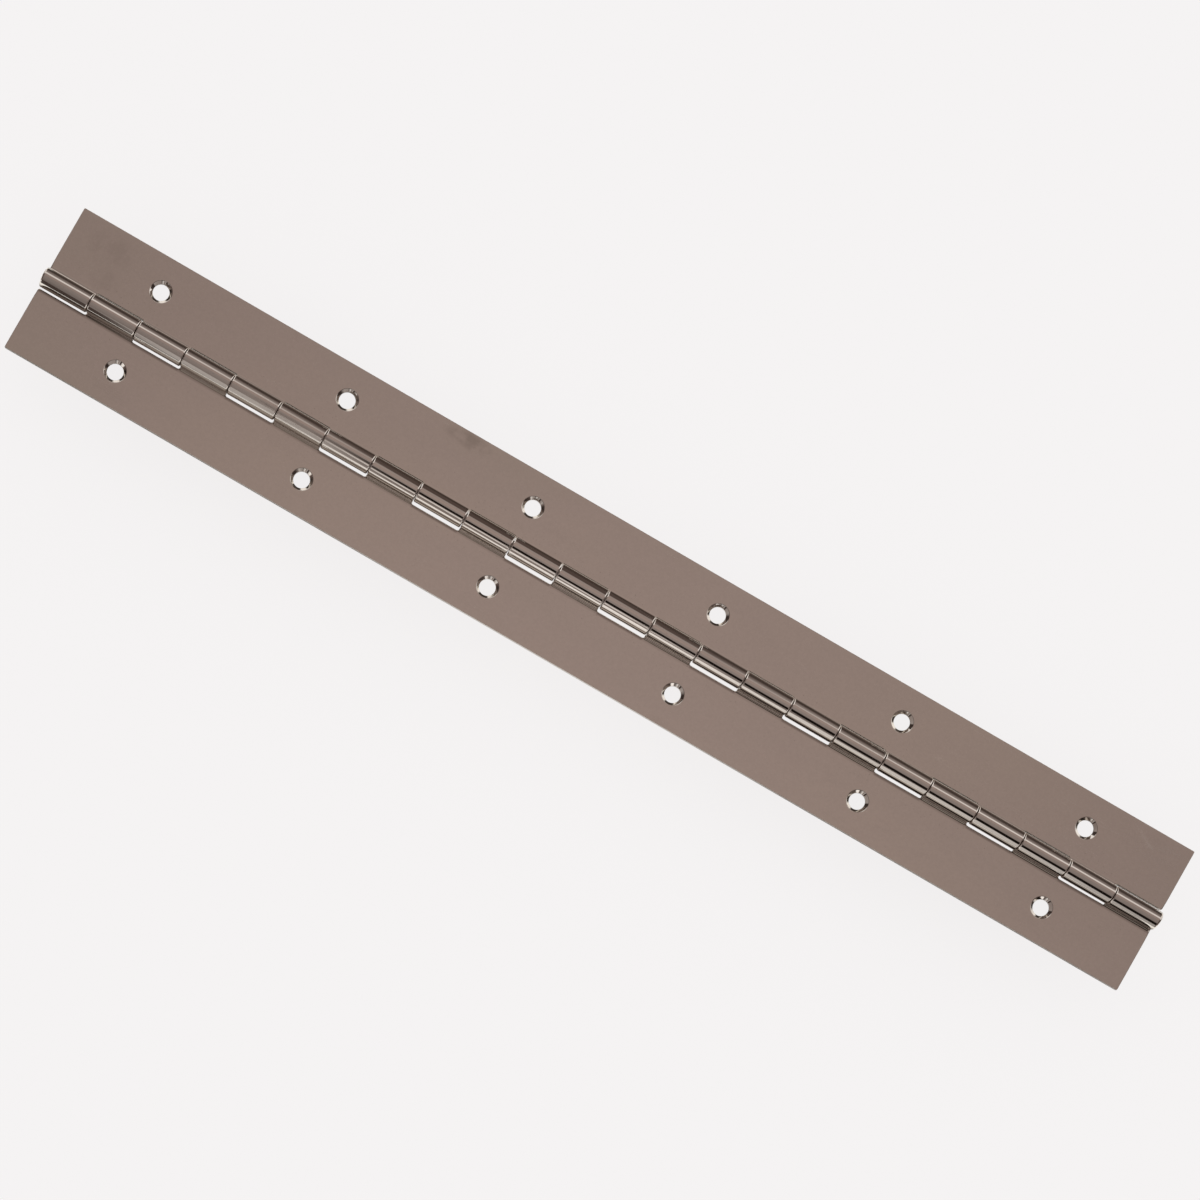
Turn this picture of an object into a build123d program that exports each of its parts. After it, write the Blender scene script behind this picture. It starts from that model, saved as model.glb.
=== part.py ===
from build123d import *
import os

# ---------------------------------------------------------------------------
# Continuous ("piano") hinge, 12 in long and 1-1/2 in wide when laid open flat.
#
# Three pieces: two leaves that are each one blanked and rolled strip of sheet,
# and one full-length pin that both leaves' knuckles turn on.
#
# Frame: origin on the back (mounting) plane, straight under the pin axis, at
# mid-length.  +X runs along the pin, +Y points to the frame leaf's outer edge,
# +Z points out of the knuckle side, where the screw heads sit.
# The leaves are drawn flat open.  All sizes are in millimetres.
# ---------------------------------------------------------------------------

inch = 25.4

# overall
length = 12 * inch              # along the pin
open_width = 1.5 * inch         # across both leaves, laid flat
reach = open_width / 2          # pin axis to a leaf's outer edge

# sheet and barrel
sheet = 1.0                     # leaf thickness
barrel_r = 2.35                 # outside of the rolled knuckles
bore_r = barrel_r - sheet       # inside of the rolled knuckles
curl = 300.0                    # degrees of roll, counted from the leaf's plane

# knuckles
leaf_knuckles = 12              # on each leaf
pitch = length / (2 * leaf_knuckles)
side_gap = 0.16                 # between two neighbouring knuckles
notch_reach = 2.85              # pin axis to the bottom of a notch
notch_width = pitch + side_gap
rim_break = 0.20                # broken outer edge at each knuckle's ends

# staked rim at the barrel's two ends, which keeps the pin in
stake_len = 0.65
stake_lip = 0.30                # straight part of the rim's bore, then it tapers out
stake_round = 0.30
stake_bore_r = 1.02
stake_overlap = 0.2             # how far the rim's section runs into the sheet

# pin
pin_clearance = 0.05            # radial, in the bore
pin_r = bore_r - pin_clearance
pin_end_play = 0.10             # each end, to the staked rim
pin_length = length - 2 * (stake_len + pin_end_play)
pin_chamfer = 0.25

# countersunk screw holes, the same row on both leaves
holes = 6
hole_pitch = 2 * inch
hole_row = 10.9                 # pin axis to the row of holes
hole_r = 2.0
sink_r = 2.7
sink_angle = 90

# how far the cutting shapes stand clear of the metal
notch_overcut = 1.0
rim_overcut = 0.05

pin_axis = Axis((0, 0, barrel_r), (-1, 0, 0))
x_end = -length / 2             # outer face of the frame leaf's end knuckle

os.makedirs("parts", exist_ok=True)


# ---------------------------------------------------------------------------
# Frame leaf: knuckles 1, 3, 5 ... 23, counted from the -X end
# ---------------------------------------------------------------------------
with BuildPart() as frame_leaf:
    # section of the strip: flat leaf, tangent at the barrel's bottom, rolled
    # round the far side and over the top until it nearly meets the leaf again
    with BuildSketch(Plane.YZ.offset(x_end)):
        with BuildLine():
            Line((reach, 0), (0, 0))
            outer = CenterArc((0, barrel_r), barrel_r, -90, -curl)
            inner = CenterArc((0, barrel_r), bore_r, -90, -curl)
            Line(outer @ 1, inner @ 1)
            Line((0, sheet), (reach, sheet))
            Line((reach, sheet), (reach, 0))
        make_face()
    extrude(amount=length)

    # notches that the other leaf's knuckles turn in
    with BuildSketch(Plane.XY.offset(-notch_overcut)):
        with Locations((pitch / 2, notch_reach)):
            with GridLocations(2 * pitch, 1, leaf_knuckles, 1):
                Rectangle(
                    notch_width,
                    notch_reach + barrel_r + notch_overcut,
                    align=(Align.CENTER, Align.MAX),
                )
    extrude(amount=2 * (barrel_r + notch_overcut), mode=Mode.SUBTRACT)

    # broken edges round the rims of the knuckles
    with BuildSketch(Plane.XZ):
        for k in range(leaf_knuckles):
            # the end knuckle runs out to the strip's end, with no gap
            left = x_end + 2 * k * pitch + (side_gap / 2 if k else 0)
            right = x_end + (2 * k + 1) * pitch - side_gap / 2
            for face_x, inward in ((left, 1), (right, -1)):
                break_x = face_x + inward * rim_break
                clear_x = face_x - inward * rim_overcut
                with BuildLine():
                    Polyline(
                        (break_x, 0),
                        (face_x, rim_break),
                        (clear_x, rim_break),
                        (clear_x, -rim_overcut),
                        (break_x, -rim_overcut),
                        close=True,
                    )
                make_face()
    revolve(axis=pin_axis, revolution_arc=curl, mode=Mode.SUBTRACT)

    # staked rim on the end knuckle: rolled over outside ...
    round_x = x_end + stake_round
    clear_x = x_end - rim_overcut
    with BuildSketch(Plane.XZ):
        with BuildLine():
            Line((clear_x, stake_round), (x_end, stake_round))
            CenterArc((round_x, stake_round), stake_round, 180, 90)
            Line((round_x, 0), (round_x, -rim_overcut))
            Line((round_x, -rim_overcut), (clear_x, -rim_overcut))
            Line((clear_x, -rim_overcut), (clear_x, stake_round))
        make_face()
    revolve(axis=pin_axis, revolution_arc=curl, mode=Mode.SUBTRACT)

    # ... and pressed in to less than the pin's radius inside
    with BuildSketch(Plane.XZ):
        with BuildLine():
            Polyline(
                (x_end, sheet - stake_overlap),
                (x_end, barrel_r - stake_bore_r),
                (x_end + stake_lip, barrel_r - stake_bore_r),
                (x_end + stake_len, sheet),
                (x_end + stake_len, sheet - stake_overlap),
                close=True,
            )
        make_face()
    revolve(axis=pin_axis, revolution_arc=curl)

    # countersunk screw holes, heads on the knuckle side
    with Locations((0, hole_row, sheet)):
        with GridLocations(hole_pitch, 1, holes, 1):
            CounterSinkHole(
                radius=hole_r,
                counter_sink_radius=sink_r,
                depth=2 * sheet,
                counter_sink_angle=sink_angle,
            )

frame_leaf.part.label = "frame_leaf"


# ---------------------------------------------------------------------------
# Door leaf: the same strip turned end for end, knuckles 2, 4, 6 ... 24
# ---------------------------------------------------------------------------
with BuildPart() as door_leaf:
    add(frame_leaf.part, rotation=(0, 0, 180))

door_leaf.part.label = "door_leaf"


# ---------------------------------------------------------------------------
# Pin: one straight wire through all the knuckles
# ---------------------------------------------------------------------------
with BuildPart() as hinge_pin:
    with BuildSketch(Plane.YZ.offset(-pin_length / 2)):
        with Locations((0, barrel_r)):
            Circle(pin_r)
    extrude(amount=pin_length)
    chamfer(hinge_pin.faces().filter_by(Axis.X).edges(), length=pin_chamfer)

hinge_pin.part.label = "hinge_pin"


for piece in (frame_leaf, door_leaf, hinge_pin):
    export_step(piece.part, "parts/" + piece.part.label + ".step")
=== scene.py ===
"""Looks of the continuous hinge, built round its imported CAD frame.

Both leaves are one rolled strip of sheet each, so each is built the way it is made: a comb-shaped
blank with countersunk holes is laid out flat as a quad mesh, its sheared edges are rounded, and the
mesh is then rolled round the pin axis.  Lengths in this file are in millimetres, and go to metres
when a mesh is written.
"""
import math

import bpy
import numpy as np
from mathutils import Matrix, Vector


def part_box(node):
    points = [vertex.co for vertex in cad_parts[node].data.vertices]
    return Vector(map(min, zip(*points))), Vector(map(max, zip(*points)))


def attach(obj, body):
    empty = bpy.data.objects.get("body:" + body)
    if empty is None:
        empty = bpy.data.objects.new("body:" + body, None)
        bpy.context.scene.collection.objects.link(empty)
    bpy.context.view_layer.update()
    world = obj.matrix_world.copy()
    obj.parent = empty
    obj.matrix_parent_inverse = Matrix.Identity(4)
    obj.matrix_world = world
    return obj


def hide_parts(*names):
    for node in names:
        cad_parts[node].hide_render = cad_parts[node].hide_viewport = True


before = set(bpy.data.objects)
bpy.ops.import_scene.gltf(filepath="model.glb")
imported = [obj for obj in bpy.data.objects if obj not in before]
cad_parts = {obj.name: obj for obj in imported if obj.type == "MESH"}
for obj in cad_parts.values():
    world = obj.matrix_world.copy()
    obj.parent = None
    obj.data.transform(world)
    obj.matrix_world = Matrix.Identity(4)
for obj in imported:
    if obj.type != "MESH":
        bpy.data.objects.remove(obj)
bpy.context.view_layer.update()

MM = 0.001

# ----------------------------------------------------------------------------
# Sizes.  The outer ones are read from the CAD frame.
# ----------------------------------------------------------------------------
leaf_lo, leaf_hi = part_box("frame_leaf")
pin_lo, pin_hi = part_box("hinge_pin")
LENGTH = (leaf_hi.x - leaf_lo.x) / MM
REACH = leaf_hi.y / MM  # pin axis to the leaf's outer edge
BARREL_R = leaf_hi.z / MM / 2
PIN_R = (pin_hi.z - pin_lo.z) / MM / 2
PIN_LEN = (pin_hi.x - pin_lo.x) / MM
SHEET = 1.0
CURL = math.radians(300)
KNUCKLES = 24
PITCH = LENGTH / KNUCKLES
SIDE_GAP = 0.16
NOTCH = 2.85  # pin axis to the bottom of a notch
HOLES, HOLE_PITCH, HOLE_ROW = 6, 50.8, 10.9
HOLE_R, SINK_R = 2.0, 2.7
LIP = 0.26  # bending radius of the countersinks' rims
STAKE_LEN = 0.60  # length of the staked rim
STAKE_OUT, STAKE_BORE = 0.12, 0.33  # how far it goes inwards, outside and in the bore
CORNER = 0.42  # radius of the blank's corners, seen square-on
EDGE_OUT = (0.31, 0.15)  # rounding on the face that rolls to the outside: at the knuckles, elsewhere
EDGE_IN = (0.32, 0.09)  # and on the other face
CREASE_AT, CREASE_WIDE, CREASE_DEEP = 2.68, 0.20, 0.045  # die mark where each knuckle leaves the leaf
OVAL, SLACK = 0.065, 0.060  # how far a knuckle's outside is from round, and off the pin's centre
BULGE = 0.12  # extra radius low on the side where the roll starts upwards
SWAY = 0.34  # how far the end knuckles' outside lies off the pin's centre, both leaves the same way


# ----------------------------------------------------------------------------
# The flat blank: x along the pin, p across (p = y on the flat leaf, negative on the roll)
# ----------------------------------------------------------------------------
def filled(required, step):
    """Sorted grid lines that hold all the required ones and leave no interval wider than step."""
    out = []
    required = sorted(required)
    for a, b in zip(required, required[1:]):
        n = max(1, math.ceil((b - a) / step - 1e-6))
        out += [a + (b - a) * k / n for k in range(n)]
    return out + [required[-1]]


def blank():
    half = LENGTH / 2
    roll = BARREL_R * CURL
    block = 5.0  # half side of the square of mesh round each hole
    side = [math.tan(math.radians(5.625 * k)) * block for k in range(-8, 9)]
    holes = [(k - (HOLES - 1) / 2) * HOLE_PITCH for k in range(HOLES)]

    # tongue edges: own knuckles are 1, 3, 5 ... from the -x end
    tongues = []
    for k in range(KNUCKLES // 2):
        left = -half + 2 * k * PITCH + (SIDE_GAP / 2 if k else 0.0)
        right = -half + (2 * k + 1) * PITCH - SIDE_GAP / 2
        tongues.append((left, right))
    cuts = sorted({x for pair in tongues for x in pair} - {-half})
    need = {-half, -half + CORNER, half - CORNER, half}
    need |= {-half + d for d in (0.50, 0.58, 0.68, 0.80, 0.98, 1.30)}
    for x in cuts:
        need |= {x - CORNER, x, x + CORNER}
    fixed = sorted(need)
    for x0 in holes:
        for s in side:
            x = x0 + s
            if abs(s) == block or min(abs(x - f) for f in fixed) > 0.2:
                need.add(x)
    xs = np.array(filled({round(x, 6) for x in need}, 1.3))

    plate_p = filled(
        {NOTCH, NOTCH + CORNER, 3.50, 3.80, REACH - CORNER, REACH}
        | {round(HOLE_ROW + s, 6) for s in side},
        1.3,
    )
    n_roll = 60
    tongue_p = (
        [-roll, -roll + CORNER]
        + [-roll * k / n_roll for k in range(n_roll - 3, 0, -1)]
        + [0.0, 0.75, 1.5, 2.1, 2.28, NOTCH - CORNER, NOTCH - 0.31, NOTCH - 0.22]
    )
    ps = np.array(tongue_p + plate_p)
    first_plate = len(tongue_p)

    def column(x):
        return int(np.argmin(np.abs(xs - x)))

    def row(p):
        return int(np.argmin(np.abs(ps - p)))

    ids, pts, quads = {}, [], []

    def at(i, j):
        if (i, j) not in ids:
            ids[(i, j)] = len(pts)
            pts.append((xs[i], ps[j]))
        return ids[(i, j)]

    blocks = [
        (
            column(x0 - block),
            column(x0 + block),
            row(HOLE_ROW - block),
            row(HOLE_ROW + block),
        )
        for x0 in holes
    ]
    for j in range(first_plate, len(ps) - 1):
        for i in range(len(xs) - 1):
            if any(a <= i < b and c <= j < d for a, b, c, d in blocks):
                continue
            quads.append((at(i, j), at(i + 1, j), at(i + 1, j + 1), at(i, j + 1)))
    for left, right in tongues:
        for j in range(first_plate):
            for i in range(column(left), column(right)):
                quads.append((at(i, j), at(i + 1, j), at(i + 1, j + 1), at(i, j + 1)))

    # rings of quads round each hole; their inner ring is kept as a direction from the centre
    rim = {}  # vertex -> (centre x, direction, share of the way out)
    for x0, (a, b, c, d) in zip(holes, blocks):
        loop = [(i, c) for i in range(a, b)] + [(b, j) for j in range(c, d)]
        loop += [(i, d) for i in range(b, a, -1)] + [(a, j) for j in range(d, c, -1)]
        outer = [at(i, j) for i, j in loop]
        rings = [outer]
        for share in (0.45, 0.14, 0.04, 0.0):
            ring = []
            for v in outer:
                dx, dp = pts[v][0] - x0, pts[v][1] - HOLE_ROW
                r = math.hypot(dx, dp)
                ring.append(len(pts))
                rim[len(pts)] = (x0, (dx / r, dp / r), share, r)
                pts.append((x0, HOLE_ROW))
            rings.append(ring)
        for far, near in zip(rings, rings[1:]):
            for k in range(len(outer)):
                m = (k + 1) % len(outer)
                quads.append((near[k], far[k], far[m], near[m]))

    pts = np.array(pts, float)
    top, bottom = pts.copy(), pts.copy()  # faces w = SHEET and w = 0
    for v, (x0, (ux, up), share, r) in rim.items():
        for face, r0 in ((top, SINK_R + LIP * 0.4142), (bottom, HOLE_R + 0.06)):
            s = r0 + (r - r0) * share
            face[v] = (x0 + ux * s, HOLE_ROW + up * s)

    # boundary loops, with the sheet on the left of each edge
    seen = set()
    for q in quads:
        for a, b in zip(q, q[1:] + q[:1]):
            seen.add((a, b))
    follow = {a: b for a, b in seen if (b, a) not in seen}
    before = {b: a for a, b in follow.items()}
    hole_rim = {v for v, (_, _, share, _) in rim.items() if share == 0.0}
    normal = {}
    moved = {}
    for v in follow:
        if v in hole_rim:
            _, (ux, up), _, _ = rim[v]
            normal[v] = (-ux, -up)
            continue
        a, b = before[v], follow[v]
        d1, d2 = pts[v] - pts[a], pts[b] - pts[v]
        n1 = np.array((d1[1], -d1[0])) / np.linalg.norm(d1)
        n2 = np.array((d2[1], -d2[0])) / np.linalg.norm(d2)
        turn = d1[0] * d2[1] - d1[1] * d2[0]
        if abs(turn) > 1e-9:  # a corner of the blank: its vertex sits on the corner's arc
            r = 0.15 if pts[v][1] == ps[-1] else CORNER  # the leaf's own outer corners are nearly sharp
            shift = 0.2929 * r * (n1 + n2)
            moved[v] = pts[v] + (-shift if turn > 0 else shift)
            n = (n1 + n2) / math.sqrt(2)
        elif (
            abs(d1[0]) < 1e-9
            and NOTCH - CORNER < pts[v][1] < NOTCH
            and abs(pts[v][0]) < half - CORNER
        ):  # on the arc beside a notch's corner
            rise = pts[v][1] - (NOTCH - CORNER)
            run = math.sqrt(CORNER**2 - rise**2)
            moved[v] = pts[v] + n1 * (CORNER - run)
            n = np.array((n1[0] * run, -rise)) / CORNER
        else:
            n = n1
        normal[v] = (n[0], n[1])
    for v, p in moved.items():
        top[v] = bottom[v] = p
    return top, bottom, quads, follow, normal, hole_rim


# ----------------------------------------------------------------------------
# Rolling: (x, p, w) on the blank to the finished leaf
# ----------------------------------------------------------------------------
def rolled(x, p, w, sway=0.0):
    """w runs through the sheet, 0 on the mounting face and the barrel's outside."""
    phi = np.clip(-p / BARREL_R, 0, None)
    theta = -math.pi / 2 - phi
    r = BARREL_R - w
    depth = w / SHEET
    ramp = np.clip(phi / 0.9, 0, 1)
    ramp = ramp * ramp * (3 - 2 * ramp)
    # the end knuckle's rim is staked inwards, except where it runs into the flat leaf
    from_end = x + LENGTH / 2
    f = np.clip(1 - from_end / STAKE_LEN, 0, 1)
    r = r - (STAKE_OUT + (STAKE_BORE - STAKE_OUT) * depth) * f**1.7 * ramp
    # no knuckle is rolled quite round; the middle ones sit furthest towards their own leaf
    middle = 1 - (x / (LENGTH / 2)) ** 2
    own = np.floor(from_end / PITCH / 2)
    vary = 0.80 + 0.35 * np.sin(2.4 * own + 0.7)
    r = r + OVAL * middle * vary * np.cos(2 * theta - math.pi / 2) * ramp * (1 - depth)
    low = np.exp(-(((np.degrees(phi) - 75) / 32) ** 2))
    r = r + BULGE * low * ramp * (1 - depth)
    y = r * np.cos(theta) + (SLACK * middle + sway * (1 - middle)) * ramp * (1 - depth)
    crease = CREASE_DEEP * np.exp(-(((p - CREASE_AT) / CREASE_WIDE) ** 2)) * depth**2
    y = np.where(p > 0, p, y)
    z = np.where(p > 0, w - crease, BARREL_R + r * np.sin(theta))
    return np.stack([x, y, z], -1)


def mapped(q, n, sway):
    """Positions and unit normals of blank points q (x, p, w) with blank normals n."""
    h = 1e-4
    at = rolled(*q.T, sway)
    cols = []
    for k in range(3):
        a, b = q.copy(), q.copy()
        a[:, k] -= h
        b[:, k] += h
        cols.append((rolled(*b.T, sway) - rolled(*a.T, sway)) / (2 * h))
    jac = np.stack(cols, -1)
    m = np.einsum("nij,nj->ni", np.linalg.inv(jac).transpose(0, 2, 1), n)
    return at, m / np.linalg.norm(m, axis=1, keepdims=True)


def edge_sizes(p):
    """Rounding of the blank's edge at p: on the outside face and on the other one."""
    t = min(max((p - NOTCH - 0.4) / 2, 0.0), 1.0)
    return tuple(near + (far - near) * t for near, far in (EDGE_OUT, EDGE_IN))


def leaf_arrays(sway, barrel_shade_weight):
    top, bottom, quads, follow, normal, hole_rim = blank()
    n = len(top)
    pos, nor, edge, barrel_shade = [], [], [], []

    def put(x, p, w, nx, np_, nw, e, barrel_shade_share=0.0):
        pos.append((x, p, w))
        nor.append((nx, np_, nw))
        edge.append(e)
        barrel_shade.append(barrel_shade_share)
        return len(pos) - 1

    lower, upper = [], []
    for v in range(n):
        nx, np_ = normal.get(v, (0.0, 0.0))
        x, p = bottom[v]
        e_out = 0.0 if v in hole_rim else edge_sizes(p)[0]
        lower.append(put(x - nx * e_out, p - np_ * e_out, 0.0, 0, 0, -1, 0.0))
    for v in range(n):
        nx, np_ = normal.get(v, (0.0, 0.0))
        x, p = top[v]
        e_in = 0.0 if v in hole_rim else edge_sizes(p)[1]
        at = p - np_ * e_in
        on_tongue = int((x + LENGTH / 2) / PITCH) % 2 == 0
        # painted shade: the door leaf's top face beside the knuckles is darkened where the barrel's dark reflection
        # falls
        barrel_shade_share = barrel_shade_weight * ((0.30 + 0.40 * (2 * x / LENGTH) ** 2) if on_tongue else 1.0)
        barrel_shade_share *= float(np.interp(at, (1.2, 1.5, 3.28, 3.50, 3.80), (0, 1, 1, 0.6, 0)))
        upper.append(put(x - nx * e_in, at, SHEET, 0, 0, 1, 0.0, barrel_shade_share))

    # profiles of the walls, from the w = 0 face up: (outward offset or radius, w, outward share, upward share)
    arc = [math.radians(a) for a in (18, 36, 54, 72, 90)]

    def outline(e_out, e_in):
        up = [
            (-e_out * (1 - math.sin(a)), e_out * (1 - math.cos(a)), math.sin(a), -math.cos(a))
            for a in arc
        ]
        over = [
            (-e_in * (1 - math.cos(a)), SHEET - e_in * (1 - math.sin(a)), math.cos(a), math.sin(a))
            for a in (0.0, *arc[:4])
        ]
        return up + [(0.0, SHEET * 0.55, 1.0, 0.0)] + over

    land = SHEET - (SINK_R - HOLE_R)
    c45 = math.sqrt(0.5)
    lip = LIP  # bending radius of the countersink's rim
    hole = [  # radius instead of offset
        (HOLE_R + 0.018, 0.018, c45, -c45),
        (HOLE_R, 0.06, 1.0, 0.0),
        (HOLE_R, land - 0.02, 1.0, 0.0),
        (HOLE_R + 0.012, land + 0.03, 0.86, 0.5),
        (HOLE_R + 0.05, land + 0.06, c45, c45),
        (HOLE_R + 0.25, land + 0.26, c45, c45),
        (HOLE_R + 0.45, land + 0.46, c45, c45),
    ]
    for a in (45, 36, 27, 18, 9):
        a = math.radians(a)
        hole.append(
            (SINK_R + lip * (0.4142 - math.sin(a)), SHEET - lip * (1 - math.cos(a)), math.sin(a), math.cos(a))
        )
    levels = {}
    for v in follow:
        nx, np_ = normal[v]
        column = [lower[v]]
        if v in hole_rim:
            cx, cp = bottom[v][0] + nx * (HOLE_R + 0.06), bottom[v][1] + np_ * (HOLE_R + 0.06)
            for r, w, out, up in hole:
                raw = 1.0 if w < land + 0.02 else 0.0
                column.append(put(cx - nx * r, cp - np_ * r, w, nx * out, np_ * out, up, raw))
        else:
            x, p = bottom[v]
            for d, w, out, up in outline(*edge_sizes(p)):
                raw = 1.0 if out > 0.9 else 0.25
                column.append(put(x + nx * d, p + np_ * d, w, nx * out, np_ * out, up, raw))
        column.append(upper[v])
        levels[v] = column

    faces = [tuple(upper[v] for v in q) for q in quads]
    faces += [tuple(lower[v] for v in reversed(q)) for q in quads]
    for a, b in follow.items():
        ca, cb = levels[a], levels[b]
        for k in range(len(ca) - 1):
            faces.append((ca[k], cb[k], cb[k + 1], ca[k + 1]))
    q = np.array(pos, float)
    at, m = mapped(q, np.array(nor, float), sway)
    return at, m, faces, edge, barrel_shade, q


def make_object(name, verts, normals, faces, extra=None):
    mesh = bpy.data.meshes.new(name)
    mesh.from_pydata([tuple(v) for v in verts * MM], [], faces)
    mesh.validate()
    mesh.polygons.foreach_set("use_smooth", [True] * len(mesh.polygons))
    mesh.normals_split_custom_set_from_vertices([tuple(n) for n in normals])
    for key, values in (extra or {}).items():
        layer = mesh.attributes.new(key, "FLOAT", "POINT")
        layer.data.foreach_set("value", np.asarray(values, np.float32))
    mesh.update()
    ob = bpy.data.objects.new(name, mesh)
    bpy.context.scene.collection.objects.link(ob)
    return ob


def leaf_object(name, sway, barrel_shade_weight, turn):
    at, n, faces, edge, barrel_shade, q = leaf_arrays(sway, barrel_shade_weight)
    extra = {"cut_edge": edge, "barrel_shade": barrel_shade, "roll": np.clip(-q[:, 1] / 1.5, 0, 1)}
    return make_object(name, at * turn, n * turn, faces, extra)


# the door leaf gets the painted shade beside its knuckles, the frame leaf none
frame_leaf = leaf_object("frame_leaf_sheet", -SWAY, 0.0, np.array([1.0, 1.0, 1.0]))
door_leaf = leaf_object("door_leaf_sheet", SWAY, 1.0, np.array([-1.0, -1.0, 1.0]))


# ----------------------------------------------------------------------------
# The pin: drawn wire, sheared to length, with a worn chamfer and a slight burr-free dome at each end
# ----------------------------------------------------------------------------
def pin_arrays():
    seg = 48
    half = PIN_LEN / 2
    end = [  # (distance from the end face, radius)
        (0.030, 0.0),
        (0.028, 0.25),
        (0.018, 0.55),
        (0.000, 0.85),
        (0.004, 0.95),
        (0.030, 1.03),
        (0.090, 1.12),
        (0.160, 1.20),
        (0.220, 1.26),
        (0.290, 1.29),
        (0.380, PIN_R),
    ]
    stations = [(-half + d, r) for d, r in end]
    stations += [(x, PIN_R) for x in np.linspace(-half + 3, half - 3, 49)]
    stations += [(half - d, r) for d, r in reversed(end)]
    verts, faces, rings = [], [], []
    for x, r in stations:
        if r == 0:
            rings.append([len(verts)])
            verts.append((x, 0.0, BARREL_R))
        else:
            rings.append(list(range(len(verts), len(verts) + seg)))
            for k in range(seg):
                a = 2 * math.pi * k / seg
                verts.append((x, r * math.cos(a), BARREL_R + r * math.sin(a)))
    for near, far in zip(rings, rings[1:]):
        for k in range(seg):
            m = (k + 1) % seg
            if len(near) == 1:
                faces.append((near[0], far[m], far[k]))
            elif len(far) == 1:
                faces.append((near[k], near[m], far[0]))
            else:
                faces.append((near[k], near[m], far[m], far[k]))
    verts = np.array(verts)
    # normals from the profile's slope
    xs_, rs_ = np.array([s[0] for s in stations]), np.array([s[1] for s in stations])
    along, out = np.gradient(xs_), np.gradient(rs_)
    normals = []
    for ring, dx, dr, r in zip(rings, along, out, rs_):
        for k, _ in enumerate(ring):
            if r == 0:
                normals.append((-1.0 if ring[0] == 0 else 1.0, 0, 0))
                continue
            a = 2 * math.pi * k / seg
            v = np.array((-dr, dx * math.cos(a), dx * math.sin(a)))
            normals.append(tuple(v / np.linalg.norm(v)))
    return verts, np.array(normals), faces


pin_at, pin_n, pin_faces = pin_arrays()
pin = make_object("pin_wire", pin_at, pin_n, pin_faces)


# ----------------------------------------------------------------------------
# Node helpers
# ----------------------------------------------------------------------------
class Tree:
    """A small writer for node trees: every method makes a node and returns its output."""

    def __init__(self, nt):
        self.nt = nt
        nt.nodes.clear()

    def node(self, kind, **settings):
        n = self.nt.nodes.new(kind)
        for k, v in settings.items():
            setattr(n, k, v)
        return n

    def put(self, socket, value):
        if hasattr(value, "is_output"):
            self.nt.links.new(value, socket)
        elif value is not None:
            socket.default_value = value

    def math(self, op, a, b=None, c=None, clamp=False):
        n = self.node("ShaderNodeMath", operation=op, use_clamp=clamp)
        for s, v in zip(n.inputs, (a, b, c)):
            self.put(s, v)
        return n.outputs[0]

    def vmath(self, op, a, b=None):
        n = self.node("ShaderNodeVectorMath", operation=op)
        self.put(n.inputs[0], a)
        self.put(n.inputs[1], b)
        return n.outputs[0]

    def ramp(self, fac, stops, interpolation="LINEAR"):
        n = self.node("ShaderNodeValToRGB")
        self.put(n.inputs[0], fac)
        r = n.color_ramp
        r.interpolation = interpolation
        while len(r.elements) > 1:
            r.elements.remove(r.elements[-1])
        for k, (at, colour) in enumerate(stops):
            e = r.elements[0] if k == 0 else r.elements.new(at)
            e.position = at
            colour = (colour,) * 3 if isinstance(colour, (int, float)) else colour
            e.color = (*colour[:3], 1.0)
        return n.outputs[0]

    def stops(self, value, stops, lo, hi):
        """A colour ramp over lo..hi whose stops are given in the value's own unit."""
        fac = self.map(value, lo, hi, smooth=False)
        return self.ramp(fac, [((at - lo) / (hi - lo), colour) for at, colour in stops])

    def split(self, vector):
        n = self.node("ShaderNodeSeparateXYZ")
        self.put(n.inputs[0], vector)
        return n.outputs

    def grey(self, value):
        n = self.node("ShaderNodeCombineColor")
        for s in n.inputs:
            self.put(s, value)
        return n.outputs[0]

    def map(self, value, lo, hi, to_lo=0.0, to_hi=1.0, smooth=True):
        n = self.node(
            "ShaderNodeMapRange",
            interpolation_type="SMOOTHSTEP" if smooth else "LINEAR",
            clamp=True,
        )
        for s, v in zip(n.inputs, (value, lo, hi, to_lo, to_hi)):
            self.put(s, v)
        return n.outputs[0]

    def mix(self, fac, a, b, blend="MIX"):
        n = self.node("ShaderNodeMix", data_type="RGBA", blend_type=blend)
        self.put(n.inputs["Factor"], fac)
        self.put(n.inputs[6], (*a, 1.0) if isinstance(a, tuple) and len(a) == 3 else a)
        self.put(n.inputs[7], (*b, 1.0) if isinstance(b, tuple) and len(b) == 3 else b)
        return n.outputs[2]

    def blend(self, fac, a, b):
        n = self.node("ShaderNodeMix", data_type="FLOAT")
        self.put(n.inputs["Factor"], fac)
        self.put(n.inputs[2], a)
        self.put(n.inputs[3], b)
        return n.outputs[0]

    def noise(self, vector, scale, detail=2.0, rough=0.5, distortion=0.0):
        n = self.node("ShaderNodeTexNoise")
        self.put(n.inputs["Vector"], vector)
        n.inputs["Scale"].default_value = scale
        n.inputs["Detail"].default_value = detail
        n.inputs["Roughness"].default_value = rough
        n.inputs["Distortion"].default_value = distortion
        return n.outputs[0]

    def voronoi(self, vector, scale, feature="F1", randomness=1.0):
        n = self.node("ShaderNodeTexVoronoi", feature=feature)
        self.put(n.inputs["Vector"], vector)
        n.inputs["Scale"].default_value = scale
        n.inputs["Randomness"].default_value = randomness
        return n.outputs[0]

    def placed(self, vector, location=(0, 0, 0), turn=(0, 0, 0), scale=(1, 1, 1)):
        n = self.node("ShaderNodeMapping")
        self.put(n.inputs["Vector"], vector)
        n.inputs["Location"].default_value = location
        n.inputs["Rotation"].default_value = [math.radians(t) for t in turn]
        n.inputs["Scale"].default_value = scale
        return n.outputs[0]


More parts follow.
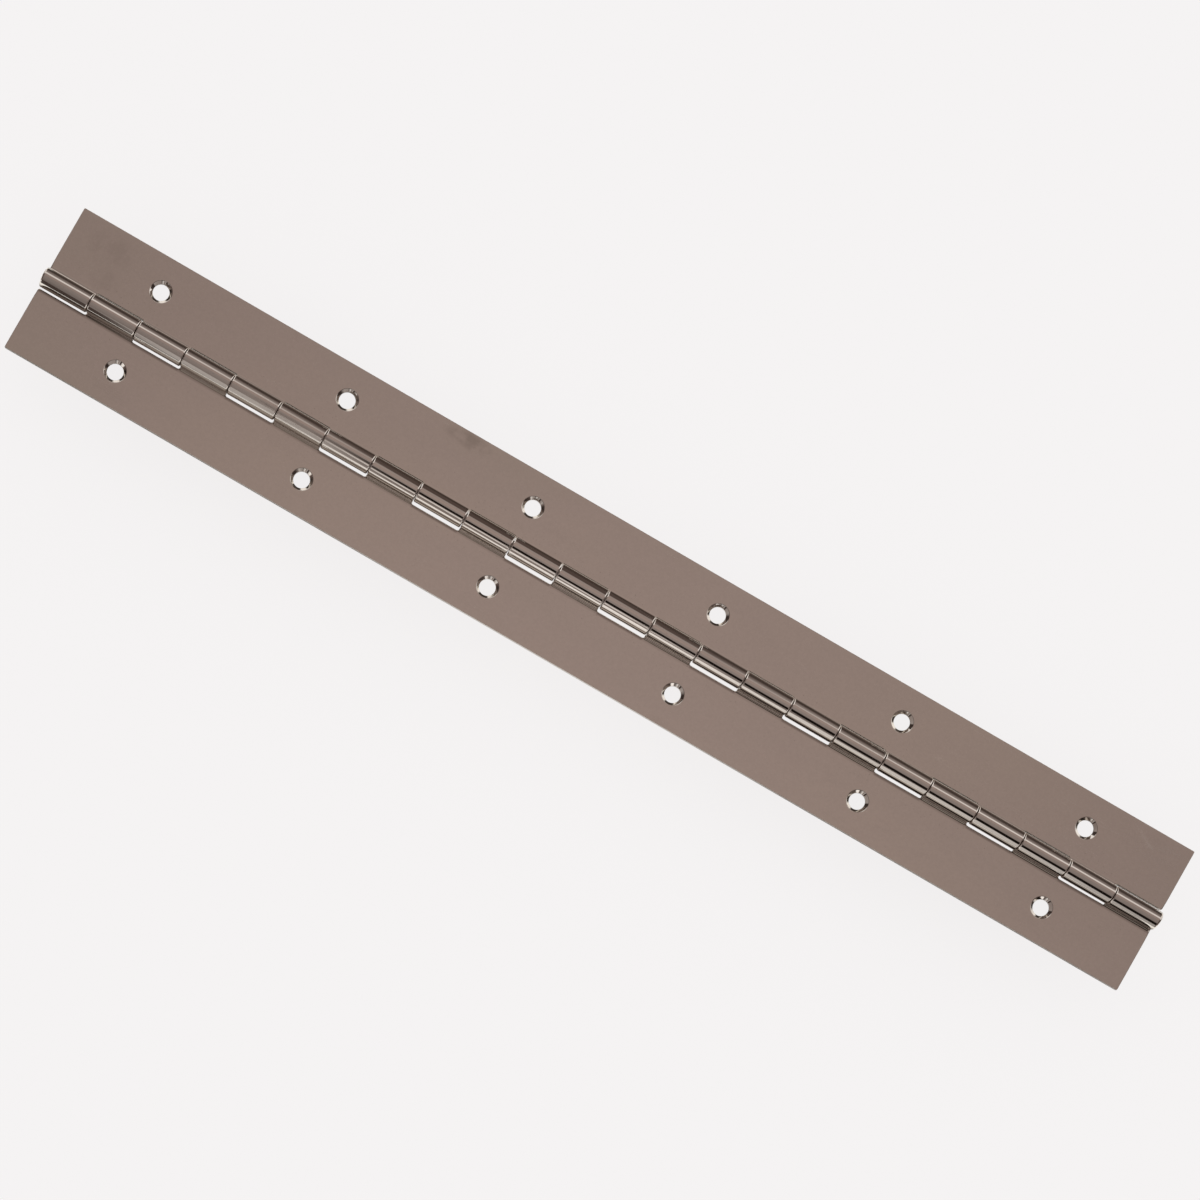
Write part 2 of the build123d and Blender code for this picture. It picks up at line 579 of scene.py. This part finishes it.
# ----------------------------------------------------------------------------
# Materials
# ----------------------------------------------------------------------------
def nickel():
    mat = bpy.data.materials.new("bright_nickel")
    mat.use_nodes = True
    t = Tree(mat.node_tree)
    out = t.node("ShaderNodeOutputMaterial")
    bsdf = t.node("ShaderNodeBsdfPrincipled")
    t.nt.links.new(bsdf.outputs[0], out.inputs[0])
    at = t.node("ShaderNodeTexCoord").outputs["Object"]
    cut = t.node("ShaderNodeAttribute", attribute_name="cut_edge").outputs["Fac"]
    roll = t.node("ShaderNodeAttribute", attribute_name="roll").outputs["Fac"]
    barrel_shade = t.node("ShaderNodeAttribute", attribute_name="barrel_shade").outputs["Fac"]

    # slow drift in the plate's tone, handling smudges, and painted shade along the joint (the barrel's dark
    # reflection on the door leaf beside it)
    drift = t.noise(t.placed(at, (0.31, 0.12, 0.4), scale=(1, 2.2, 1)), 9, 3, 0.55)
    smudge = t.map(t.noise(t.placed(at, (0.7, 0.2, 0), (0, 0, 24), (1, 2.6, 1)), 42, 4, 0.6, 0.8), 0.56, 0.72)
    tone = t.ramp(drift, [(0.3, (0.630, 0.600, 0.532)), (0.5, (0.664, 0.617, 0.566)), (0.7, (0.688, 0.640, 0.575))])
    tone = t.mix(t.math("MULTIPLY", smudge, 0.12), tone, (0.50, 0.46, 0.42))
    # fine mottling of the plate, and specks that gather along the joint
    mottle = t.map(t.noise(at, 1500, 3, 0.65), 0.30, 0.70, 0.975, 1.02)
    tone = t.mix(1.0, tone, t.grey(mottle), "MULTIPLY")
    near = t.map(t.math("ABSOLUTE", t.split(at)[1]), 0.003, 0.011, 0.34, 0.05)
    speck = t.map(t.noise(t.placed(at, (0.4, 0.1, 0.2)), 1900, 2, 0.5), 0.66, 0.74)
    tone = t.mix(t.math("MULTIPLY", speck, near), tone, (0.25, 0.22, 0.20))
    # three larger marks: (x, y, half length, half width, depth), in metres
    x, y, z = t.split(at)
    patchy = t.map(t.noise(t.placed(at, (0.2, 0.9, 0)), 260, 3, 0.6), 0.30, 0.62)
    for mx, my, lx, ly, depth in ((-0.0465, 0.0170, 0.0060, 0.0020, 0.30), (-0.142, 0.0135, 0.006, 0.004, 0.11), (-0.1395, 0.0065, 0.004, 0.003, 0.09)):
        dx = t.math("DIVIDE", t.math("SUBTRACT", x, mx), lx)
        dy = t.math("DIVIDE", t.math("SUBTRACT", y, my), ly)
        away = t.math("SQRT", t.math("ADD", t.math("MULTIPLY", dx, dx), t.math("MULTIPLY", dy, dy)))
        mark = t.math("MULTIPLY", t.map(away, 0.5, 1.25, depth, 0.0), patchy)
        tone = t.mix(mark, tone, (0.20, 0.18, 0.15))
    tone = t.mix(t.math("MULTIPLY", cut, 0.25), tone, (0.52, 0.49, 0.46))
    # painted shade beside the knuckles: the barrel's dark reflection put into the base colour
    tone = t.mix(t.math("MULTIPLY", barrel_shade, 0.75), tone, (0.20, 0.165, 0.145))
    # painted highlight: the rounded edges of the knuckles' ends are lightened so that they glint
    painted_glint = t.ramp(cut, [(0.0, 0.0), (0.22, 0.85), (0.30, 0.85), (0.60, 0.0)])
    tone = t.mix(t.math("MULTIPLY", painted_glint, roll), tone, (0.93, 0.87, 0.81))
    t.put(bsdf.inputs["Base Color"], tone)
    bsdf.inputs["Metallic"].default_value = 1.0

    # hairline scratches in three directions
    lines = None
    for turn, scale, seed in ((8, 300, 0.1), (-37, 210, 0.6), (71, 240, 1.3)):
        v = t.placed(at, (seed, seed * 0.7, 0), (0, 0, turn), (0.05, 1, 0.2))
        d = t.voronoi(v, scale, "DISTANCE_TO_EDGE")
        line = t.map(d, 0.0, 0.018, 1.0, 0.0)
        keep = t.map(t.noise(t.placed(at, (seed, 0, seed)), 60, 1), 0.56, 0.66)
        line = t.math("MULTIPLY", line, keep)
        lines = line if lines is None else t.math("MAXIMUM", lines, line)

    rough = t.map(t.noise(at, 140, 4, 0.6), 0.25, 0.8, 0.045, 0.085)
    rough = t.math("ADD", rough, t.math("MULTIPLY", smudge, 0.07))
    rough = t.math("ADD", rough, t.math("MULTIPLY", lines, 0.10))
    rough = t.math("ADD", rough, t.math("MULTIPLY", cut, 0.16))
    t.put(bsdf.inputs["Roughness"], rough)

    # surface: faint rolling waves, draw lines on the knuckles, shear marks on the cut edges
    wave = t.noise(t.placed(at, scale=(0.35, 1, 1)), 160, 2, 0.5)
    drawn = t.noise(t.placed(at, scale=(0.03, 1, 1)), 1600, 2, 0.5)
    sheared = t.noise(t.placed(at, scale=(1, 1, 0.12)), 5200, 2, 0.6)
    height = t.math("MULTIPLY", wave, 0.000016)
    height = t.math("ADD", height, t.math("MULTIPLY", t.math("MULTIPLY", drawn, roll), 0.0000020))
    height = t.math("ADD", height, t.math("MULTIPLY", t.math("MULTIPLY", sheared, cut), 0.000006))
    height = t.math("SUBTRACT", height, t.math("MULTIPLY", lines, 0.0000010))
    bump = t.node("ShaderNodeBump")
    bump.inputs["Strength"].default_value = 1.0
    bump.inputs["Distance"].default_value = 1.0
    t.put(bump.inputs["Height"], height)
    t.put(bsdf.inputs["Normal"], bump.outputs[0])
    return mat


def wire_steel():
    mat = bpy.data.materials.new("drawn_steel_wire")
    mat.use_nodes = True
    t = Tree(mat.node_tree)
    out = t.node("ShaderNodeOutputMaterial")
    bsdf = t.node("ShaderNodeBsdfPrincipled")
    t.nt.links.new(bsdf.outputs[0], out.inputs[0])
    at = t.node("ShaderNodeTexCoord").outputs["Object"]
    streak = t.noise(t.placed(at, scale=(0.02, 1, 1)), 2600, 3, 0.6)
    spots = t.noise(at, 700, 4, 0.65)
    tone = t.ramp(streak, [(0.3, (0.30, 0.29, 0.28)), (0.7, (0.46, 0.445, 0.43))])
    tone = t.mix(t.map(spots, 0.58, 0.75, 0, 0.5), tone, (0.30, 0.27, 0.24))
    t.put(bsdf.inputs["Base Color"], tone)
    bsdf.inputs["Metallic"].default_value = 1.0
    t.put(bsdf.inputs["Roughness"], t.map(spots, 0.3, 0.7, 0.22, 0.38))
    bump = t.node("ShaderNodeBump")
    bump.inputs["Strength"].default_value = 1.0
    bump.inputs["Distance"].default_value = 1.0
    t.put(bump.inputs["Height"], t.math("MULTIPLY", streak, 0.000004))
    t.put(bsdf.inputs["Normal"], bump.outputs[0])
    return mat


leaf_mat = nickel()
for ob in (frame_leaf, door_leaf):
    ob.data.materials.append(leaf_mat)
pin.data.materials.append(wire_steel())

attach(frame_leaf, "frame_leaf")
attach(door_leaf, "door_leaf")
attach(pin, "pin")
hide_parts("frame_leaf")
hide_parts("door_leaf")
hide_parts("hinge_pin")


# ----------------------------------------------------------------------------
# Stage: a pale floor just below the reach of the folded-back leaf.  The camera sees it evenly lit
# with a faint soft shadow; in the metal it is a white table with dark surroundings and a painted shadow beneath the
# hinge.
# ----------------------------------------------------------------------------
PALE = (0.913, 0.896, 0.896)
FILL = 0.80
bpy.ops.mesh.primitive_plane_add(size=60, location=(0, 0, -0.018))
floor = bpy.context.object
floor.name = "floor"
fmat = bpy.data.materials.new("pale_floor")
fmat.use_nodes = True
t = Tree(fmat.node_tree)
out = t.node("ShaderNodeOutputMaterial")
diffuse = t.node("ShaderNodeBsdfDiffuse")
diffuse.inputs["Color"].default_value = (0.12, 0.12, 0.12, 1)
glow = t.node("ShaderNodeEmission")
glow.inputs["Color"].default_value = (*(c - 0.12 * FILL for c in PALE), 1)
both = t.node("ShaderNodeAddShader")
t.nt.links.new(diffuse.outputs[0], both.inputs[0])
t.nt.links.new(glow.outputs[0], both.inputs[1])
geometry = t.node("ShaderNodeNewGeometry")
fx, fy, fz = t.split(geometry.outputs["Position"])
gx, gy, gz = t.split(geometry.outputs["Incoming"])
radius = t.math("SQRT", t.math("ADD", t.math("MULTIPLY", fx, fx), t.math("MULTIPLY", fy, fy)))
far = t.map(radius, 0.20, 0.42)
toward = t.math("MULTIPLY", gx, -1.0)
lit = t.stops(toward, [(-1.0, 0.30), (-0.24, 0.05), (-0.16, 0.25), (-0.08, 0.80), (0.10, 0.80), (0.20, 0.45), (0.40, 0.20), (1.0, 0.35)], -1, 1)
far_tone = t.mix(t.map(gy, -0.1, 0.1), (0.06, 0.055, 0.05), lit)
table = t.node("ShaderNodeEmission")
# painted shadow, seen only in the metal: the floor's tone is dark beneath the hinge, less so near its middle
over_x = t.map(t.math("ABSOLUTE", fx), 0.150, 0.185, 1.0, 0.0)
over_y = t.map(t.math("ABSOLUTE", fy), 0.018, 0.046, 1.0, 0.0)
depth = t.map(t.math("ABSOLUTE", fx), 0.015, 0.075, 0.50, 0.93)
painted_shadow = t.math("MULTIPLY", t.math("MULTIPLY", over_x, over_y), depth)
near_tone = t.mix(painted_shadow, (1.25, 1.23, 1.20), (0.056, 0.043, 0.036))
# close to the horizon it mirrors the room: dark across the pin, lit askew to it
askew = t.math("ABSOLUTE", gx)
shade, lamp = (0.058, 0.045, 0.038), (1.20, 1.15, 1.10)
glance = t.stops(askew, [(0.0, shade), (0.30, shade), (0.42, lamp), (0.66, lamp), (0.76, shade), (1.0, shade)], 0, 1)
low = t.math("MULTIPLY", t.map(gz, 0.30, 0.46, 1.0, 0.0), t.map(gy, -0.25, 0.05, 1.0, 0.0))
near_tone = t.mix(low, near_tone, glance)
t.put(table.inputs["Color"], t.mix(far, near_tone, far_tone))
pick = t.node("ShaderNodeMixShader")
t.nt.links.new(t.node("ShaderNodeLightPath").outputs["Is Glossy Ray"], pick.inputs[0])
t.nt.links.new(both.outputs[0], pick.inputs[1])
t.nt.links.new(table.outputs[0], pick.inputs[2])
t.nt.links.new(pick.outputs[0], out.inputs[0])
floor.data.materials.append(fmat)


# ----------------------------------------------------------------------------
# Studio.  What the bright metal mirrors is painted in two zones.  Close to the plane square to the
# pin (|x| small) it goes by the angle b round the pin: straight up 0, towards +Y positive, towards
# -Y negative.  Further off it is a ring of panels near the horizon with softboxes above it.
# ----------------------------------------------------------------------------
def studio():
    world = bpy.data.worlds.new("studio")
    bpy.context.scene.world = world
    world.use_nodes = True
    world.cycles.sampling_method = "NONE"
    t = Tree(world.node_tree)
    out = t.node("ShaderNodeOutputWorld")
    x, y, z = t.split(t.node("ShaderNodeTexCoord").outputs["Generated"])
    side = t.math("ABSOLUTE", x)
    b = t.math("DEGREES", t.math("ARCTAN2", y, z))
    # seen from the ends of the hinge the room stands a little further round, except what the leaves mirror
    end = t.math("MULTIPLY", t.math("SUBTRACT", x, 0.047), 3.74)
    ends = t.math("MINIMUM", t.math("MULTIPLY", end, end), 1.0)
    further = t.stops(b, [(-180, 0.0), (-80, 0.0), (-68, 1.0), (-5, 1.0), (8, 0.0), (24, 0.0), (32, 1.0), (180, 1.0)], -180, 180)
    b = t.math("SUBTRACT", b, t.math("MULTIPLY", t.math("MULTIPLY", further, 6.0), ends))
    warm = (0.403, 0.322, 0.300)

    def grey(v, tint=0.7):
        if v < 0.15:  # the dark parts of the room are warmer
            tint = 1.5
        m = [1 + (w / 0.34 - 1) * tint for w in warm]
        return tuple(v * k for k in m)

    def part_of(v):
        return tuple(v * w for w in warm)

    def band(base, centre, half, soft, colour, gate=1.0):
        off = t.math("ABSOLUTE", t.math("SUBTRACT", b, centre))
        if isinstance(half, float):
            outer = half + soft
        else:
            outer = t.math("ADD", half, soft)
        share = t.map(off, half, outer, 1.0, 0.0)
        return t.mix(t.math("MULTIPLY", share, gate), base, colour)

    # near zone: room tone
    base = t.stops(
        b,
        [
            (-180, grey(0.50)),
            (-96, grey(0.36)),
            (-84, grey(0.30)),
            (-74, grey(0.28)),
            (-60, grey(0.20)),
            (-47, grey(0.24)),
            (-36, grey(0.27)),
            (-22, grey(0.30)),
            (-4, grey(0.31)),
            (5, part_of(1.02)),
            (12, part_of(1.10)),
            (15, part_of(1.05)),
            (16, part_of(1.015)),
            (20, part_of(0.985)),
            (27, part_of(0.99)),
            (34, grey(0.35)),
            (44, grey(0.32)),
            (52, grey(0.28)),
            (60, grey(0.20)),
            (70, grey(0.12)),
            (82, grey(0.05)),
            (98, grey(0.05)),
            (108, grey(0.11)),
            (130, grey(0.30)),
            (180, grey(0.50)),
        ],
        -180,
        180,
    )
    # the room darkens towards both ends of the hinge
    dim = t.map(t.math("ABSOLUTE", t.math("SUBTRACT", x, 0.05)), 0.02, 0.30, 1.0, 0.875)
    base = t.mix(1.0, base, t.grey(dim), "MULTIPLY")

    # window band just over the horizon on the camera's side, brightest square to the pin
    window = t.stops(x, [(-0.24, 0.03), (-0.17, 0.10), (-0.10, 0.62), (-0.05, 1.0), (0.06, 1.0), (0.14, 0.66), (0.24, 0.50), (0.36, 0.16)], -1, 1)
    wide = t.math("ADD", 8.0, t.math("MULTIPLY", t.math("MAXIMUM", x, 0.0), 90.0))
    off = t.math("ABSOLUTE", t.math("ADD", b, 93.0))
    share = t.map(off, wide, t.math("ADD", wide, 6.0), 1.0, 0.0)
    base = t.mix(share, base, t.mix(window, grey(0.04), grey(1.25, 0.15)))
    # a pale panel left of it, with a dark one beyond
    gate = t.map(t.math("ABSOLUTE", t.math("ADD", x, 0.13)), 0.03, 0.07, 1.0, 0.0)
    base = band(base, -66.0, 12.0, 8.0, grey(0.50, 0.3), gate)
    gate = t.map(x, -0.185, -0.155, 1.0, 0.0)
    base = band(base, -81.0, 14.0, 12.0, grey(0.055), gate)
    # dark figure behind the camera, leaning across the pin's direction, with a bright edge
    lean = t.math("SUBTRACT", -28.0, t.math("MULTIPLY", x, 95.0))
    gate = t.map(t.math("ABSOLUTE", x), 0.05, 0.12, 1.0, 0.0)
    base = band(base, t.math("SUBTRACT", lean, 23.0), 5.0, 4.0, grey(0.80, 0.25), gate)
    gate = t.map(x, -0.10, -0.05)
    half = t.math("ADD", 8.5, t.math("MULTIPLY", t.math("MAXIMUM", x, 0.0), 12.0))
    base = band(base, lean, half, 5.0, (0.010, 0.007, 0.006), gate)
    # narrow lamp strip on the far side, strongest towards both ends
    power = t.map(t.math("ABSOLUTE", t.math("SUBTRACT", x, 0.02)), 0.06, 0.22)
    base = band(base, 31.5, 4.5, 4.5, grey(0.90, 0.25), power)
    # in the middle the dark part of the far side comes down lower
    gate = t.map(t.math("ABSOLUTE", t.math("SUBTRACT", x, 0.01)), 0.06, 0.13, 1.0, 0.0)
    base = band(base, 71.0, 21.0, 8.0, grey(0.085), gate)

    # outer zone: panels round the horizon, softboxes above
    turn = t.math("DEGREES", t.math("ARCTAN2", x, t.math("MULTIPLY", y, -1.0)))
    rise = t.math("DEGREES", t.math("ARCSINE", z))
    panels = t.stops(
        turn,
        [
            (-180, grey(0.10)),
            (-160, grey(0.12)),
            (-150, grey(1.15, 0.1)),
            (-130, grey(1.15, 0.1)),
            (-122, grey(0.05)),
            (-74, grey(0.03)),
            (-50, grey(0.12)),
            (-42, grey(1.25, 0.1)),
            (-24, grey(1.25, 0.1)),
            (-14, grey(0.30)),
            (14, grey(0.20)),
            (32, grey(0.08)),
            (38, grey(1.30, 0.1)),
            (52, grey(1.30, 0.1)),
            (59, grey(0.08)),
            (90, grey(0.03)),
            (118, grey(0.05)),
            (126, grey(1.2, 0.1)),
            (152, grey(1.2, 0.1)),
            (161, grey(0.20)),
            (180, grey(0.10)),
        ],
        -180,
        180,
    )
    far_side = t.stops(
        rise,
        [(0, grey(0.50)), (18, grey(0.70, 0.3)), (26, grey(0.98, 0.15)), (52, grey(0.92, 0.2)), (64, grey(0.36)), (90, grey(0.28))],
        -90,
        90,
    )
    near_side = t.stops(
        rise,
        [(0, grey(0.45, 0.4)), (14, grey(0.42, 0.4)), (21, grey(0.30)), (29, grey(0.10)), (90, grey(0.07))],
        -90,
        90,
    )
    upper = t.mix(t.map(y, 0.22, 0.44), near_side, far_side)
    # the panels stand lower on the camera's side
    top = t.map(y, -0.15, 0.15, 11.0, 17.0)
    over = t.map(rise, top, t.math("ADD", top, 5.0))
    outer = t.mix(over, panels, upper)
    seen = t.mix(t.map(side, 0.32, 0.44), base, outer)

    rays = t.node("ShaderNodeLightPath")
    mirror = t.node("ShaderNodeBackground")
    t.put(mirror.inputs["Color"], seen)
    plain = t.node("ShaderNodeBackground")
    plain.inputs["Color"].default_value = (*PALE, 1)
    fill = t.node("ShaderNodeBackground")
    fill.inputs["Color"].default_value = (1, 1, 1, 1)
    fill.inputs["Strength"].default_value = FILL
    m1 = t.node("ShaderNodeMixShader")
    t.nt.links.new(rays.outputs["Is Glossy Ray"], m1.inputs[0])
    t.nt.links.new(fill.outputs[0], m1.inputs[1])
    t.nt.links.new(mirror.outputs[0], m1.inputs[2])
    m2 = t.node("ShaderNodeMixShader")
    t.nt.links.new(rays.outputs["Is Camera Ray"], m2.inputs[0])
    t.nt.links.new(m1.outputs[0], m2.inputs[1])
    t.nt.links.new(plain.outputs[0], m2.inputs[2])
    t.nt.links.new(m2.outputs[0], out.inputs[0])


studio()

# ----------------------------------------------------------------------------
# Camera: above the door leaf's side and looking almost straight down, with the lens shifted so that
# the hinge fills the frame.  The shift belongs to this one viewpoint, so it goes back to zero when
# the camera is taken round the object.
# ----------------------------------------------------------------------------
STAND = (-0.027, -0.161, 0.550)
SHIFT = (0.30845, 0.42696)
cam_data = bpy.data.cameras.new("camera")
cam_data.lens = 69.924
cam_data.sensor_width = 36.0
cam_data.clip_start = 0.05
cam_data.clip_end = 100
cam = bpy.data.objects.new("camera", cam_data)
bpy.context.scene.collection.objects.link(cam)
cam.location = STAND
cam.rotation_euler = [math.radians(a) for a in (0.52012, -1.54664, 29.77527)]
bpy.context.scene.camera = cam
stand = bpy.data.objects.new("camera_stand", None)
bpy.context.scene.collection.objects.link(stand)
stand.location = STAND
for prop, value in zip(("shift_x", "shift_y"), SHIFT):
    setattr(cam_data, prop, value)
    curve = cam_data.driver_add(prop)  # distance from the stand -> shift
    for m in list(curve.modifiers):
        curve.modifiers.remove(m)
    for away, shift in ((0.0, value), (0.02, 0.0), (1.0, 0.0)):
        curve.keyframe_points.insert(away, shift).interpolation = "CONSTANT"
    curve.driver.type = "SUM"
    v = curve.driver.variables.new()
    v.type = "LOC_DIFF"
    v.targets[0].id = cam
    v.targets[1].id = stand

scene = bpy.context.scene
scene.view_settings.view_transform = "Standard"
scene.view_settings.look = "None"
scene.cycles.max_bounces = 12
scene.cycles.glossy_bounces = 8
